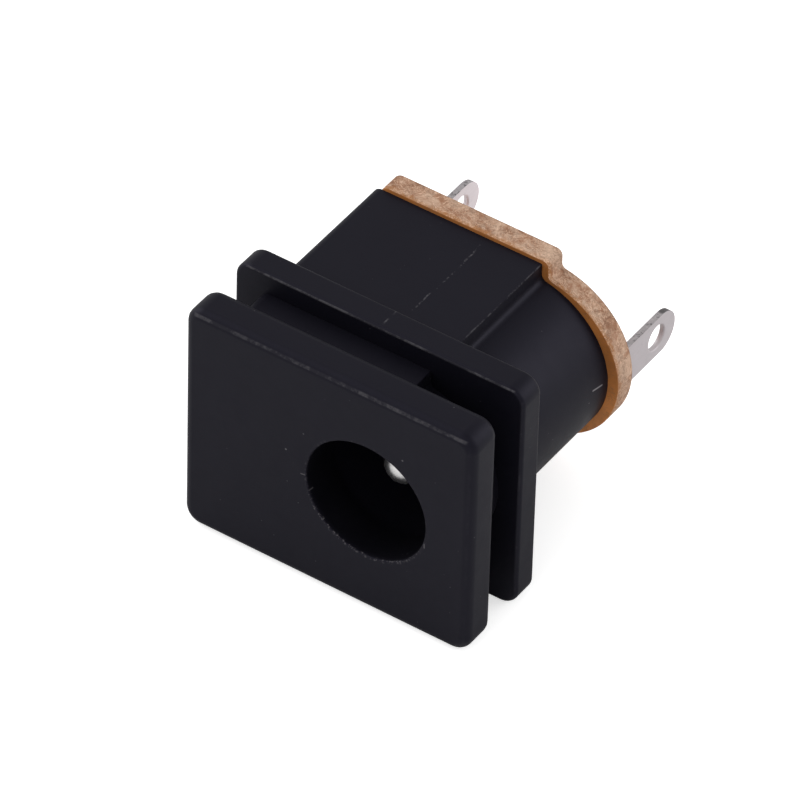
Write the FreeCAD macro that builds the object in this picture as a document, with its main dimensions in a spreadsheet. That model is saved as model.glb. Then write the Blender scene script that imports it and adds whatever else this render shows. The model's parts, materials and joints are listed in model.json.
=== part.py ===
# Panel-slot DC barrel jack: a moulded housing with a grooved front, a laminate back plate,
# a riveted centre pin and three solder lugs.
#
# Frame: the plug axis is the Y axis, Y = 0 is the front face and Y grows into the jack,
# X is to the right seen from the front, Z is up. Every size is in millimetres.
import FreeCAD
import Part
import Sketcher
import os

MODEL = "barrel_jack"

SIZES = [
    # Front plate and flange, which grip the edge of a panel between them
    ("overhang", 1.13),
    ("overhang_left", 1.43),
    ("overhang_right", 1.15),
    ("plate_thickness", 1.95),
    ("plate_corner", 0.88),
    ("plate_edge", 0.48),
    ("slot_width", 1.9),
    ("flange_thickness", 1.4),
    ("flange_edge", 0.2),
    # Body behind the flange: a square block joined to a round barrel
    ("housing_depth", 12.55),
    ("block_left", 8.31),
    ("block_right", 0.69),
    ("step_height", 0.82),
    ("block_edge", 0.45),
    ("barrel_radius", 4.38),
    ("step_fillet", 0.35),
    ("root_fillet", 0.55),
    # Socket for the plug, and the chamber beside it for the two leaf contacts
    ("socket_radius", 3.15),
    ("lip_length", 2.0),
    ("cavity_radius", 3.45),
    ("chamber_wall", 0.97),
    ("chamber_front", 4.8),
    ("chamber_roof", 1.25),
    ("bore_wall", 0.6),
    ("window_height", 3.5),
    # Two moulded pegs, melted over to hold the back plate
    ("peg_radius", 0.6),
    ("peg_beside_chamber", 1.0),
    ("peg_below_top", 1.35),
    ("peg_head_radius", 0.95),
    ("peg_head_height", 0.4),
    ("peg_head_edge", 0.25),
    # Laminate back plate, a little proud of the body except on its left
    ("laminate", 1.15),
    ("inset_left", 0.33),
    ("rim_right", 0.34),
    ("rim_flat", 0.19),
    ("round_across", 0.48),
    ("round_radius", 4.45),
    ("laminate_left_corner", 0.5),
    ("laminate_right_corner", 0.33),
    ("laminate_foot", 0.28),
    ("play", 0.05),
    # Centre pin, riveted through the back plate
    ("pin_radius", 1.05),
    ("pin_recess", 2.2),
    ("collar_radius", 2.0),
    ("collar_length", 0.9),
    ("shank_radius", 0.8),
    ("rivet_radius", 1.35),
    ("rivet_height", 0.45),
    ("rivet_edge", 0.3),
    # Sheet metal of the terminals and their solder lugs
    ("sheet", 0.3),
    ("lug_width", 2.2),
    ("lug_hole_radius", 0.65),
    ("lug_hole_from_plate", 3.97),
    ("lug_end_beyond_hole", 0.38),
    # Pin terminal: an eyelet under the rivet, bent back into a lug
    ("eyelet_radius", 1.75),
    ("pin_lug_across", 3.68),
    ("pin_lug_down", 1.3),
    ("bend_radius", 0.3),
    # Sleeve spring: the leaf that presses on the plug's sleeve
    ("spring_clearance", 0.25),
    ("spring_lug_down", 2.5),
    ("spring_height", 2.8),
    ("spring_base_length", 1.3),
    ("spring_root_from_base", 0.3),
    ("bump_into_socket", 0.55),
    ("bump_from_chamber_front", 3.5),
    ("tail_offset", 0.15),
    ("tail_from_chamber_front", 0.8),
    ("tail_length", 0.9),
    # Switch contact: the fixed leaf that the spring leaves when a plug goes in
    ("switch_lug_up", 0.9),
    ("switch_height", 2.0),
    ("switch_base_height", 3.6),
    ("switch_base_length", 1.3),
    ("hook_from_front", 0.2),
    ("hook_length", 0.8),
    ("contact_gap", 0.03),
]

# Places that several pieces share, as expressions on the sheet
BLOCK_TOP = "(sizes.barrel_radius + sizes.step_height)"
CHAMBER_RIGHT = "(sizes.cavity_radius + sizes.bore_wall)"
FLANGE_FRONT = "(sizes.plate_thickness + sizes.slot_width)"
BODY_BACK = "sizes.housing_depth"
PLATE_BACK = "(sizes.housing_depth + sizes.laminate)"
PEG_ACROSS = "(" + CHAMBER_RIGHT + " - sizes.peg_beside_chamber)"
PEG_UP = "(" + BLOCK_TOP + " - sizes.peg_below_top)"
SPRING_FACE = "(" + CHAMBER_RIGHT + " + sizes.spring_clearance)"
SPRING_TAIL = "(" + SPRING_FACE + " + sizes.tail_offset)"
SWITCH_FACE = "(sizes.block_left - sizes.chamber_wall - sizes.play - sizes.sheet)"
LUG_HOLE = PLATE_BACK + " + sizes.lug_hole_from_plate"
LUG_REACH = LUG_HOLE + " + sizes.lug_end_beyond_hole"
LUG_TIP = LUG_REACH + " + sizes.lug_width / 2"

document = FreeCAD.newDocument(MODEL)
sheet = document.addObject("Spreadsheet::Sheet", "sizes")


def fill_sheet():
    """Write each driving dimension beside its name."""
    for row, (name, value) in enumerate(SIZES, start=1):
        sheet.set("A%d" % row, name)
        sheet.set("B%d" % row, str(value))
        sheet.setAlias("B%d" % row, name)
    document.recompute()


def size(name):
    """Read one driving dimension back from the sheet."""
    return float(sheet.get(name))


def new_body(label):
    """Start a sub-part."""
    body = document.addObject("PartDesign::Body", label)
    body.Label = label
    return body


def origin_plane(body, role):
    """Find one of the body's own origin planes."""
    for feature in body.Origin.OriginFeatures:
        if feature.Role == role:
            return feature
    raise RuntimeError("no plane " + role + " in " + body.Label)


def new_sketch(body, name, role, offset):
    """A sketch on one of the body's planes, moved along that plane's normal."""
    sketch = body.newObject("Sketcher::SketchObject", name)
    sketch.AttachmentSupport = [(origin_plane(body, role), "")]
    sketch.MapMode = "FlatFace"
    sketch.setExpression("AttachmentOffset.Base.z", offset)
    return sketch


def across_sketch(body, name, depth):
    """A sketch seen from the front (its axes are X and Z), at a depth behind the front face."""
    return new_sketch(body, name, "XZ_Plane", "-(" + depth + ")")


def side_sketch(body, name, across):
    """A sketch seen from the right (its axes are Y and Z), at a place along X."""
    return new_sketch(body, name, "YZ_Plane", across)


def bind_point(sketch, geometry, end, first, second):
    """Tie one end of a line, or a circle's centre, to two expressions."""
    for kind, value in (("DistanceX", first), ("DistanceY", second)):
        index = sketch.addConstraint(Sketcher.Constraint(kind, -1, 1, geometry, end, 1.0))
        sketch.setExpression("Constraints[%d]" % index, value)


def draw_outline(sketch, corners, closed=True):
    """Straight lines through corners, each corner given as two expressions."""
    count = len(corners)
    lines = count if closed else count - 1
    for index in range(lines):
        start = FreeCAD.Vector(index, index * index, 0)
        end = FreeCAD.Vector(index + 1, (index + 1) * (index + 1), 0)
        if closed and index == lines - 1:
            end = FreeCAD.Vector(0, 0, 0)
        sketch.addGeometry(Part.LineSegment(start, end), False)
    for index in range(1, lines):
        sketch.addConstraint(Sketcher.Constraint("Coincident", index - 1, 2, index, 1))
    if closed:
        sketch.addConstraint(Sketcher.Constraint("Coincident", lines - 1, 2, 0, 1))
    for index, (first, second) in enumerate(corners):
        if index < lines:
            bind_point(sketch, index, 1, first, second)
        else:
            bind_point(sketch, index - 1, 2, first, second)


def draw_rectangle(sketch, low_first, high_first, low_second, high_second):
    """A rectangle between two pairs of expressions."""
    corners = [
        (low_first, low_second),
        (high_first, low_second),
        (high_first, high_second),
        (low_first, high_second),
    ]
    draw_outline(sketch, corners)


def draw_circle(sketch, first, second, radius):
    """A circle with its centre and radius tied to expressions."""
    circle = Part.Circle(FreeCAD.Vector(0.5, 0.5, 0), FreeCAD.Vector(0, 0, 1), 1.0)
    geometry = sketch.addGeometry(circle, False)
    index = sketch.addConstraint(Sketcher.Constraint("Radius", geometry, 1.0))
    sketch.setExpression("Constraints[%d]" % index, radius)
    bind_point(sketch, geometry, 3, first, second)


def pad(body, sketch, length, backwards):
    """Add material from a sketch."""
    feature = body.newObject("PartDesign::Pad", sketch.Name + "_pad")
    feature.Profile = sketch
    feature.setExpression("Length", length)
    feature.Reversed = backwards
    document.recompute()
    return feature


def pocket(body, sketch, length, backwards):
    """Take material away, and make sure that some went."""
    before = body.Shape.Volume
    feature = body.newObject("PartDesign::Pocket", sketch.Name + "_pocket")
    feature.Profile = sketch
    feature.setExpression("Length", length)
    feature.Reversed = backwards
    document.recompute()
    if body.Shape.Volume >= before:
        raise RuntimeError(feature.Name + " cut nothing")
    return feature


def round_edges(body, name, radius, wanted):
    """Fillet the edges of the body's tip that a test picks."""
    tip = body.Tip
    names = []
    for index, edge in enumerate(tip.Shape.Edges, start=1):
        if wanted(edge):
            names.append("Edge%d" % index)
    if not names:
        raise RuntimeError(name + " found no edge")
    feature = body.newObject("PartDesign::Fillet", name)
    feature.Base = (tip, names)
    feature.setExpression("Radius", radius)
    document.recompute()
    return feature


def near(value, target):
    """True where two sizes agree."""
    return abs(value - target) < 0.001


def runs_along(edge, axis):
    """True for a straight edge parallel to one of the axes, given as 0, 1 or 2."""
    if edge.Curve.TypeId != "Part::GeomLine":
        return False
    direction = edge.Vertexes[1].Point - edge.Vertexes[0].Point
    return near(abs(direction[axis]), direction.Length)


def lies_at_depth(edge, depth):
    """True for an edge that lies wholly in one plane across the jack."""
    box = edge.BoundBox
    return near(box.YMin, depth) and near(box.YMax, depth)


def passes_through(edge, axis, first, second):
    """True for a straight edge along an axis that passes through a point of the plane across it."""
    if not runs_along(edge, axis):
        return False
    point = edge.Vertexes[0].Point
    seen = [point[index] for index in range(3) if index != axis]
    return near(seen[0], first) and near(seen[1], second)


def build_housing():
    """The black moulding: grooved front, block and barrel, socket, chamber and pegs."""
    body = new_body("housing")
    left = "-(sizes.block_left + sizes.overhang_left)"
    right = "sizes.barrel_radius + sizes.overhang_right"
    high = "(" + BLOCK_TOP + " + sizes.overhang)"
    low = "-" + high

    plate = across_sketch(body, "front_plate", "0")
    draw_rectangle(plate, left, right, low, high)
    pad(body, plate, "sizes.plate_thickness", True)
    flange = across_sketch(body, "flange", FLANGE_FRONT)
    draw_rectangle(flange, left, right, low, high)
    block = across_sketch(body, "block", "sizes.plate_thickness")
    draw_rectangle(block, "-sizes.block_left", "sizes.block_right", "-" + BLOCK_TOP, BLOCK_TOP)
    pad(body, block, BODY_BACK + " - sizes.plate_thickness", True)
    pad(body, flange, "sizes.flange_thickness", True)
    barrel = across_sketch(body, "barrel", "sizes.plate_thickness")
    draw_circle(barrel, "0", "0", "sizes.barrel_radius")
    pad(body, barrel, BODY_BACK + " - sizes.plate_thickness", True)

    plate_left = -(size("block_left") + size("overhang_left"))
    plate_right = size("barrel_radius") + size("overhang_right")
    block_top = size("barrel_radius") + size("step_height")
    plate_top = block_top + size("overhang")

    def is_plate_corner(edge):
        corners = [(side, level) for side in (plate_left, plate_right) for level in (-plate_top, plate_top)]
        return any(passes_through(edge, 1, side, level) for side, level in corners)

    round_edges(body, "plate_corners", "sizes.plate_corner", is_plate_corner)

    def is_block_corner(edge):
        return any(passes_through(edge, 1, -size("block_left"), level) for level in (-block_top, block_top))

    round_edges(body, "block_corners", "sizes.block_edge", is_block_corner)

    foot = (size("barrel_radius") ** 2 - size("block_right") ** 2) ** 0.5

    def is_step_foot(edge):
        return any(passes_through(edge, 1, size("block_right"), level) for level in (-foot, foot))

    round_edges(body, "step_foot", "sizes.step_fillet", is_step_foot)

    flange_back = size("plate_thickness") + size("slot_width") + size("flange_thickness")

    def on_outer_edge(edge):
        box = edge.BoundBox
        beyond_sides = box.XMin < -size("block_left") - 0.01 or box.XMax > size("barrel_radius") + 0.01
        return beyond_sides or box.ZMin < -block_top - 0.01 or box.ZMax > block_top + 0.01

    def is_flange_root(edge):
        return lies_at_depth(edge, flange_back) and not on_outer_edge(edge)

    round_edges(body, "flange_root", "sizes.root_fillet", is_flange_root)

    def is_plate_edge(edge):
        depths = (0, size("plate_thickness"))
        return any(lies_at_depth(edge, place) for place in depths) and on_outer_edge(edge)

    round_edges(body, "plate_edges", "sizes.plate_edge", is_plate_edge)

    def is_flange_edge(edge):
        depths = (flange_back - size("flange_thickness"), flange_back)
        return any(lies_at_depth(edge, place) for place in depths) and on_outer_edge(edge)

    round_edges(body, "flange_edges", "sizes.flange_edge", is_flange_edge)

    socket = across_sketch(body, "socket", "0")
    draw_circle(socket, "0", "0", "sizes.socket_radius")
    pocket(body, socket, "sizes.lip_length", False)
    cavity = across_sketch(body, "cavity", "sizes.lip_length")
    draw_circle(cavity, "0", "0", "sizes.cavity_radius")
    pocket(body, cavity, BODY_BACK + " - sizes.lip_length", False)
    chamber = across_sketch(body, "chamber", "sizes.chamber_front")
    chamber_left = "-(sizes.block_left - sizes.chamber_wall)"
    chamber_top = "(" + BLOCK_TOP + " - sizes.chamber_roof)"
    draw_rectangle(chamber, chamber_left, "-" + CHAMBER_RIGHT, "-" + chamber_top, chamber_top)
    pocket(body, chamber, BODY_BACK + " - sizes.chamber_front", False)
    window = across_sketch(body, "window", "sizes.chamber_front")
    window_top = "sizes.window_height / 2"
    draw_rectangle(window, "-" + CHAMBER_RIGHT, "-sizes.cavity_radius / 2", "-" + window_top, window_top)
    pocket(body, window, BODY_BACK + " - sizes.chamber_front", False)

    for name, side in (("upper", ""), ("lower", "-")):
        peg = across_sketch(body, name + "_peg", BODY_BACK)
        draw_circle(peg, "-" + PEG_ACROSS, side + PEG_UP, "sizes.peg_radius")
        pad(body, peg, "sizes.laminate", True)
        head = across_sketch(body, name + "_peg_head", PLATE_BACK)
        draw_circle(head, "-" + PEG_ACROSS, side + PEG_UP, "sizes.peg_head_radius")
        pad(body, head, "sizes.peg_head_height", True)

    head_end = size("housing_depth") + size("laminate") + size("peg_head_height")
    round_edges(body, "peg_domes", "sizes.peg_head_edge", lambda edge: lies_at_depth(edge, head_end))
    return body


def cut_lug_slot(body, name, across, up):
    """A slot through the back plate for a lug whose right face is at a place along X."""
    slot = across_sketch(body, name, BODY_BACK)
    half = "(sizes.lug_width / 2 + sizes.play)"
    draw_rectangle(
        slot,
        "-(" + across + " + sizes.sheet + sizes.play)",
        "-(" + across + " - sizes.play)",
        up + " - " + half,
        up + " + " + half,
    )
    pocket(body, slot, "sizes.laminate", False)


def build_back_plate():
    """The punched laminate that closes the back and carries the terminals."""
    body = new_body("back_plate")
    high = "(" + BLOCK_TOP + " + sizes.rim_flat)"
    flat = across_sketch(body, "plate_flat", BODY_BACK)
    low_side = "-(sizes.block_left - sizes.inset_left)"
    high_side = "sizes.block_right + sizes.rim_right"
    draw_rectangle(flat, low_side, high_side, "-" + high, high)
    pad(body, flat, "sizes.laminate", True)
    rounded = across_sketch(body, "plate_round", BODY_BACK)
    draw_circle(rounded, "sizes.round_across", "0", "sizes.round_radius")
    pad(body, rounded, "sizes.laminate", True)

    left = -(size("block_left") - size("inset_left"))
    right = size("block_right") + size("rim_right")
    top = size("barrel_radius") + size("step_height") + size("rim_flat")
    foot = (size("round_radius") ** 2 - (right - size("round_across")) ** 2) ** 0.5

    def is_corner_at(side, level):
        return lambda edge: any(passes_through(edge, 1, side, value) for value in (-level, level))

    round_edges(body, "left_corners", "sizes.laminate_left_corner", is_corner_at(left, top))
    round_edges(body, "right_corners", "sizes.laminate_right_corner", is_corner_at(right, top))
    round_edges(body, "shoulder_foot", "sizes.laminate_foot", is_corner_at(right, foot))

    shank_hole = across_sketch(body, "shank_hole", BODY_BACK)
    draw_circle(shank_hole, "0", "0", "sizes.shank_radius + sizes.play / 2")
    pocket(body, shank_hole, "sizes.laminate", False)
    for name, side in (("upper", ""), ("lower", "-")):
        hole = across_sketch(body, name + "_peg_hole", BODY_BACK)
        draw_circle(hole, "-" + PEG_ACROSS, side + PEG_UP, "sizes.peg_radius + sizes.play / 2")
        pocket(body, hole, "sizes.laminate", False)
    cut_lug_slot(body, "spring_slot", SPRING_FACE, "-sizes.spring_lug_down")
    cut_lug_slot(body, "switch_slot", SWITCH_FACE, "sizes.switch_lug_up")
    return body


def build_centre_pin():
    """The turned pin: round tip, shaft, collar inside the back plate, shank and rivet head."""
    body = new_body("centre_pin")
    tip = body.newObject("PartDesign::AdditiveSphere", "tip")
    tip.setExpression("Radius", "sizes.pin_radius")
    tip.AttachmentSupport = [(origin_plane(body, "XZ_Plane"), "")]
    tip.MapMode = "FlatFace"
    tip.setExpression("AttachmentOffset.Base.z", "-(sizes.pin_recess + sizes.pin_radius)")
    document.recompute()
    eyelet_back = PLATE_BACK + " + sizes.sheet"
    stretches = [
        ("shaft", "sizes.pin_radius", "sizes.pin_recess + sizes.pin_radius", BODY_BACK),
        ("collar", "sizes.collar_radius", BODY_BACK + " - sizes.collar_length", BODY_BACK),
        ("shank", "sizes.shank_radius", BODY_BACK, eyelet_back),
        ("rivet", "sizes.rivet_radius", eyelet_back, eyelet_back + " + sizes.rivet_height"),
    ]
    for name, radius, start, end in stretches:
        sketch = across_sketch(body, name, start)
        draw_circle(sketch, "0", "0", radius)
        pad(body, sketch, "(" + end + ") - (" + start + ")", True)
    rivet_end = size("housing_depth") + size("laminate") + size("sheet") + size("rivet_height")
    round_edges(body, "rivet_dome", "sizes.rivet_edge", lambda edge: lies_at_depth(edge, rivet_end))
    return body


def build_pin_terminal():
    """The strip under the pin's rivet head, bent back into the right-hand lug."""
    body = new_body("pin_terminal")
    low = "-(sizes.pin_lug_down + sizes.lug_width / 2)"
    high = "-(sizes.pin_lug_down - sizes.lug_width / 2)"
    eyelet = across_sketch(body, "eyelet", PLATE_BACK)
    draw_circle(eyelet, "0", "0", "sizes.eyelet_radius")
    pad(body, eyelet, "sizes.sheet", True)
    bridge = across_sketch(body, "bridge", PLATE_BACK)
    draw_rectangle(bridge, "0", "sizes.pin_lug_across", low, high)
    pad(body, bridge, "sizes.sheet", True)
    inner = "sizes.pin_lug_across - sizes.sheet"
    lug = side_sketch(body, "pin_lug", inner)
    draw_rectangle(lug, PLATE_BACK, LUG_REACH, low, high)
    pad(body, lug, "sizes.sheet", False)
    lug_end = side_sketch(body, "pin_lug_end", inner)
    draw_circle(lug_end, LUG_REACH, "-sizes.pin_lug_down", "sizes.lug_width / 2")
    pad(body, lug_end, "sizes.sheet", False)

    back = size("housing_depth") + size("laminate")
    across = size("pin_lug_across")

    def is_inner_bend(edge):
        return passes_through(edge, 2, across - size("sheet"), back + size("sheet"))

    def is_outer_bend(edge):
        return passes_through(edge, 2, across, back)

    round_edges(body, "inner_bend", "sizes.bend_radius", is_inner_bend)
    round_edges(body, "outer_bend", "sizes.bend_radius + sizes.sheet", is_outer_bend)

    hole = side_sketch(body, "pin_lug_hole", inner)
    draw_circle(hole, LUG_HOLE, "-sizes.pin_lug_down", "sizes.lug_hole_radius")
    pocket(body, hole, "sizes.sheet", True)
    shank_hole = across_sketch(body, "eyelet_hole", PLATE_BACK)
    draw_circle(shank_hole, "0", "0", "sizes.shank_radius + sizes.play / 2")
    pocket(body, shank_hole, "sizes.sheet", False)
    return body


def plain_sketch(name, plane_turn):
    """A sketch outside any body, on the plane that a turn of the XY plane gives."""
    sketch = document.addObject("Sketcher::SketchObject", name)
    sketch.Placement = FreeCAD.Placement(FreeCAD.Vector(0, 0, 0), plane_turn)
    return sketch


def folded_strip(label, corners, height, blank_rectangles, up):
    """A leaf contact: its folded profile, seen from above, cut to the outline of its blank.

    The corners follow the face of the strip that looks at the plug, and the sheet's
    thickness lies behind them. The blank is seen from the right, with axes Y and Z.
    """
    profile = plain_sketch(label + "_profile", FreeCAD.Rotation())
    draw_outline(profile, corners, closed=False)
    document.recompute()
    thick = document.addObject("Part::Offset2D", label + "_thickness")
    thick.Source = profile
    thick.setExpression("Value", "sizes.sheet")
    thick.Mode = "Skin"
    thick.Fill = True
    thick.Join = "Intersection"
    fold = document.addObject("Part::Extrusion", label + "_fold")
    fold.Base = thick
    fold.DirMode = "Custom"
    fold.Dir = FreeCAD.Vector(0, 0, 1)
    fold.Solid = True
    fold.Symmetric = True
    fold.setExpression("LengthFwd", height)

    along_depth = FreeCAD.Vector(0, 1, 0)
    upwards = FreeCAD.Vector(0, 0, 1)
    side_plane = FreeCAD.Rotation(along_depth, upwards, FreeCAD.Vector(1, 0, 0), "ZXY")
    shapes = []
    for name, low_depth, high_depth, low, high in blank_rectangles:
        sketch = plain_sketch(label + "_" + name, side_plane)
        draw_rectangle(sketch, low_depth, high_depth, low, high)
        shapes.append(sketch)
    lug_end = plain_sketch(label + "_lug_end", side_plane)
    draw_circle(lug_end, LUG_REACH, up, "sizes.lug_width / 2")
    shapes.append(lug_end)
    pieces = []
    for sketch in shapes:
        piece = document.addObject("Part::Extrusion", sketch.Name + "_blank")
        piece.Base = sketch
        piece.DirMode = "Custom"
        piece.Dir = FreeCAD.Vector(-1, 0, 0)
        piece.Solid = True
        piece.setExpression("LengthFwd", "sizes.block_left")
        pieces.append(piece)
    blank = document.addObject("Part::MultiFuse", label + "_blank")
    blank.Shapes = pieces
    trimmed = document.addObject("Part::MultiCommon", label + "_trimmed")
    trimmed.Shapes = [fold, blank]
    hole_outline = plain_sketch(label + "_hole_outline", side_plane)
    draw_circle(hole_outline, LUG_HOLE, up, "sizes.lug_hole_radius")
    hole = document.addObject("Part::Extrusion", label + "_hole")
    hole.Base = hole_outline
    hole.DirMode = "Custom"
    hole.Dir = FreeCAD.Vector(-1, 0, 0)
    hole.Solid = True
    hole.setExpression("LengthFwd", "sizes.block_left")
    strip = document.addObject("Part::Cut", label)
    strip.Base = trimmed
    strip.Tool = hole
    strip.Label = label
    document.recompute()
    return strip


def build_sleeve_spring():
    """The leaf that bows into the socket and presses on the plug's sleeve."""
    base_front = BODY_BACK + " - sizes.spring_base_length"
    root = base_front + " - sizes.spring_root_from_base"
    bump_across = "-(sizes.socket_radius - sizes.bump_into_socket)"
    bump_front = "sizes.chamber_front + sizes.bump_from_chamber_front"
    tail_front = "(sizes.chamber_front + sizes.tail_from_chamber_front)"
    corners = [
        ("-" + SPRING_FACE, LUG_TIP),
        ("-" + SPRING_FACE, root),
        (bump_across, bump_front),
        ("-" + SPRING_TAIL, tail_front + " + sizes.tail_length"),
        ("-" + SPRING_TAIL, tail_front),
    ]
    lug_low = "-(sizes.spring_lug_down + sizes.lug_width / 2)"
    lug_high = "-(sizes.spring_lug_down - sizes.lug_width / 2)"
    arm_high = "sizes.spring_height / 2"
    rectangles = [
        ("arm", tail_front, base_front, "-" + arm_high, arm_high),
        ("base", base_front, BODY_BACK, lug_low, arm_high),
        ("lug", BODY_BACK, LUG_REACH, lug_low, lug_high),
    ]
    height = "2 * (sizes.spring_lug_down + sizes.lug_width / 2)"
    return folded_strip("sleeve_spring", corners, height, rectangles, "-sizes.spring_lug_down")


def build_switch_contact():
    """The fixed leaf along the chamber's wall, hooked round the spring's tail."""
    base_front = BODY_BACK + " - sizes.switch_base_length"
    arm_back = "sizes.chamber_front + sizes.hook_from_front + sizes.sheet"
    hook_across = "-(" + SPRING_TAIL + " - sizes.contact_gap)"
    corners = [
        ("-" + SWITCH_FACE, LUG_TIP),
        ("-" + SWITCH_FACE, arm_back),
        (hook_across, arm_back),
        (hook_across, arm_back + " + sizes.hook_length"),
    ]
    half_lug = "sizes.lug_width / 2"
    half_arm = "sizes.switch_height / 2"
    half_base = "sizes.switch_base_height / 2"
    up = "sizes.switch_lug_up"
    rectangles = [
        ("arm", "sizes.chamber_front", base_front, up + " - " + half_arm, up + " + " + half_arm),
        ("base", base_front, BODY_BACK, up + " - " + half_base, up + " + " + half_base),
        ("lug", BODY_BACK, LUG_REACH, up + " - " + half_lug, up + " + " + half_lug),
    ]
    height = "2 * (sizes.switch_lug_up + sizes.switch_base_height)"
    return folded_strip("switch_contact", corners, height, rectangles, up)


def export(nodes):
    """Check every object, then write each sub-part to its own file."""
    document.recompute()
    for thing in document.Objects:
        if "Invalid" in thing.State or "Error" in thing.State:
            raise RuntimeError(thing.Name + " failed")
    for node in nodes:
        shape = node.Shape
        if shape.isNull() or not shape.isValid() or len(shape.Solids) != 1:
            raise RuntimeError(node.Label + " is not one valid solid")
    os.makedirs("parts", exist_ok=True)
    for node in nodes:
        node.Shape.exportStep("parts/" + node.Label + ".step")
        box = node.Shape.BoundBox
        print(node.Label, round(node.Shape.Volume, 2), "mm3", box)


fill_sheet()
export([
    build_housing(),
    build_back_plate(),
    build_centre_pin(),
    build_pin_terminal(),
    build_sleeve_spring(),
    build_switch_contact(),
])
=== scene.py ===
import json
import math

import bpy
from mathutils import Matrix, Vector


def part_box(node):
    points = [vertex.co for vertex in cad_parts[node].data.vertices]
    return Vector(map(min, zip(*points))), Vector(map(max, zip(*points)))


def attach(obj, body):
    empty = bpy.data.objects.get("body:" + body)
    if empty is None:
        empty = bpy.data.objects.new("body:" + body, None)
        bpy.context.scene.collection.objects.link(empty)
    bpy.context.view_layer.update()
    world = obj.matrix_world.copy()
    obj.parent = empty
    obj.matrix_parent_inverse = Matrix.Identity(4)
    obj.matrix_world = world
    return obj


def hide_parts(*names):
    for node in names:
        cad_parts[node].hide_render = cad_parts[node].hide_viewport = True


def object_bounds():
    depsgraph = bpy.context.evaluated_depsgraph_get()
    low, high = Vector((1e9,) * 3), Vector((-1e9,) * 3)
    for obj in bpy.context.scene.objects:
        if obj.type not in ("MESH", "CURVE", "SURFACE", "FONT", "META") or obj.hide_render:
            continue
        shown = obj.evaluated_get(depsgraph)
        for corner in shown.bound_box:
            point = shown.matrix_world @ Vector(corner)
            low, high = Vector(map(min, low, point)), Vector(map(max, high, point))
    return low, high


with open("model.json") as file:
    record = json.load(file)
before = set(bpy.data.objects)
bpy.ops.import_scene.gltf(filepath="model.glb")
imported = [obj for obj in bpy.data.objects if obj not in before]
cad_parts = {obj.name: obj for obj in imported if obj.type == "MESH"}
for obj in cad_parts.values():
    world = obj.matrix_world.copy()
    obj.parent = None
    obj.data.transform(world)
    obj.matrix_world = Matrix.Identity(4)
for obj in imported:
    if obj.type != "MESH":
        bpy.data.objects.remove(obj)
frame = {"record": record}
CAD_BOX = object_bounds()

bl_info = {
    "name": "DC barrel jack",
    "version": (1, 0, 0),
    "blender": (4, 5, 0),
    "location": "3D View > Sidebar > Barrel Jack",
    "description": "Dresses a panel-slot power socket: moulding, laminate, pin and solder lugs",
    "category": "Object",
}

MM = 0.001
MOUNTS = {mount["name"]: mount for mount in frame["record"]["mounts"]}
HOUSING_LOW, HOUSING_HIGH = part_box("housing")
LAMINATE_LOW, LAMINATE_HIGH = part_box("back_plate")
PIN_LOW, PIN_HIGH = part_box("centre_pin")
TERMINAL_LOW, TERMINAL_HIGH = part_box("pin_terminal")
SPRING_LOW, SPRING_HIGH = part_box("sleeve_spring")
SWITCH_LOW, SWITCH_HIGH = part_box("switch_contact")
BODY_BACK = LAMINATE_LOW.y

X, Y, Z = 0, 1, 2
FINE_SIDES = 160
HOLE_SIDES = 64
PAST = 1.0 * MM
OVERLAP = PAST / 4
SAME_PLACE = 0.004 * MM
ON_CIRCLE = 0.01 * MM
SHORTEST_EDGE = 0.01 * MM
MERGE_REACH = 0.002 * MM
DEGENERATE = 0.001 * MM
SHARP_ANGLE = math.radians(20)
SMOOTH_ANGLE = math.radians(32)
ROLLOVER_ANGLE = math.radians(40)
FLAT_ANGLE = math.radians(0.3)
COLLAR_CHAMFER = 0.06 * MM
ROUND_END = 0.995
PEG_HEAD_ROUNDING = 0.6
RIM_REACH = 1.05

CAMERA_AZIMUTH = math.radians(33.291)
CAMERA_ELEVATION = math.radians(42.133)
CAMERA_ROLL = math.radians(1.680)
CAMERA_LENS = 405.0
CAMERA_PLACE = Vector((1.509, 4.426, 392.198)) * MM
LAMP_TARGET = Vector((0.0, 6 * MM, 0.0))
WHITE = (1.0, 1.0, 1.0, 1.0)
FLOOR_GLOW = 0.6
SURROUND_LIGHT = 0.585

# Start, end and width in millimetres, strength: short pale marks on the barrel and the front plate.
TICKS = (
    ((4.356, 11.367, 0.465), (4.370, 12.078, 0.308), 0.055, 1.0),
    ((-3.42, 0.0, -0.18), (-3.22, 0.0, -0.15), 0.045, 0.35),
    ((-3.00, 0.05, -0.98), (-2.98, 0.30, -1.01), 0.05, 0.3),
    ((3.12, 0.0, -0.84), (3.13, 0.0, -1.06), 0.045, 0.4),
)
# Start, end and width in millimetres: a painted dark reflection at the tip of the right-hand lug.
LUG_PAINTED_REFLECTION = ((3.53, 18.25, -0.24), (3.53, 18.62, -0.42), 0.26)


def mount_size(name, key):
    """One of a mount's dimensions, in metres."""
    return MOUNTS[name]["dims"][key] * MM


def mount_place(name):
    """Where a mount is, in metres."""
    return Vector(MOUNTS[name]["pos_m"])


def length(name, millimetres, description):
    """A length that a user can change, kept in metres."""
    return bpy.props.FloatProperty(
        name=name, description=description, default=millimetres * MM, min=0.0, precision=5,
        subtype="DISTANCE", unit="LENGTH",
    )


def colour(name, default, description):
    """A colour that a user can change, in linear light."""
    return bpy.props.FloatVectorProperty(
        name=name, description=description, default=default, size=3, min=0.0, max=1.0, subtype="COLOR"
    )


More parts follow.
